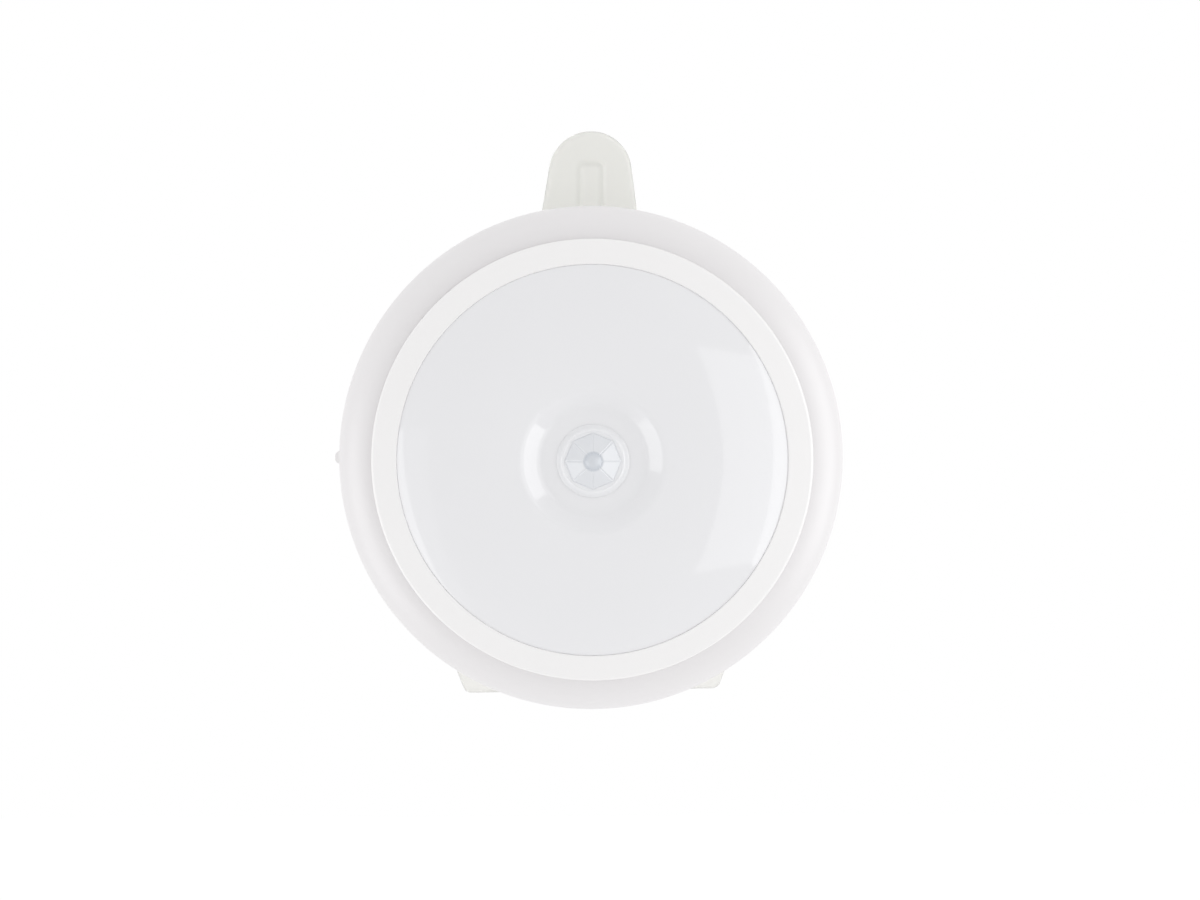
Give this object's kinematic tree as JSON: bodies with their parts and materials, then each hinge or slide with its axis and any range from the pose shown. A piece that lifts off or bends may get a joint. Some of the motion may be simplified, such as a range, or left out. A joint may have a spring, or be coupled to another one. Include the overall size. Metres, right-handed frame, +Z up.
{
  "type": "motion sensor cabinet light",
  "caption": "Round white battery light with a dimpled opal diffuser, faceted motion-sensor lens, side slide switch, twist-off back and a soft suction cup with a pull tab.",
  "frame": {"origin": "centre of the suction cup's lip, in the plane of the wall that it holds on to", "axes": "-Y is the way the light faces, +Y into the wall, +Z up towards the pull tab, +X to the right as seen from the front"},
  "size_m": [0.0803, 0.0327, 0.0919],
  "materials": {
    "soft_pvc": "soft translucent PVC, faintly yellow-green, satin",
    "white_abs_gloss": "polished white ABS",
    "white_abs": "white ABS, fine satin",
    "opal_plastic": "polished opal polycarbonate",
    "lens_plastic": "milky polyethylene",
    "plated_steel": "nickel-plated steel",
    "dark_silicon": "coated silicon window",
    "board_laminate": "white solder mask",
    "led_white": "white moulding",
    "led_yellow": "yellow phosphor in silicone",
    "chip_black": "black epoxy",
    "chip_ceramic": "fired chip ceramic",
    "can_aluminium": "drawn can",
    "cell_jacket": "plain jacket film, no print",
    "lead_red": "PVC insulation",
    "lead_black": "PVC insulation"
  },
  "bodies": {
    "base": {"suction_cup": "soft_pvc", "back_cover": "white_abs"},
    "lamp": {"housing": "white_abs_gloss", "bezel_ring": "white_abs", "diffuser": "opal_plastic", "fresnel_lens": "lens_plastic", "lens_holder": "white_abs", "sensor_can": "plated_steel", "sensor_window": "dark_silicon", "circuit_board": "board_laminate", "led_packages": "led_white", "led_phosphors": "led_yellow", "daylight_sensor": "lens_plastic", "control_chip": "chip_black", "chip_parts": "chip_ceramic", "capacitor": "can_aluminium", "board_screws": "plated_steel", "battery_tray": "white_abs", "tray_screws": "plated_steel", "contact_plates": "plated_steel", "spring_left": "plated_steel", "spring_middle": "plated_steel", "spring_right": "plated_steel", "cell_left": "cell_jacket", "cell_middle": "cell_jacket", "cell_right": "cell_jacket", "switch_frame": "plated_steel", "lead_positive": "lead_red", "lead_switched": "lead_red", "lead_negative": "lead_black"},
    "switch": {"switch_slider": "chip_black", "switch_cap": "white_abs"}
  },
  "joints": [
    {"name": "back_twist", "type": "hinge", "parent": "base", "child": "lamp", "pos_m": [0, 0, 0], "axis": [0, -1, 0], "range_deg": [0, 22]},
    {"name": "switch_slide", "type": "slide", "parent": "lamp", "child": "switch", "axis": [0, 0, 1], "range_m": [-0.002, 0.002]}
  ]
}
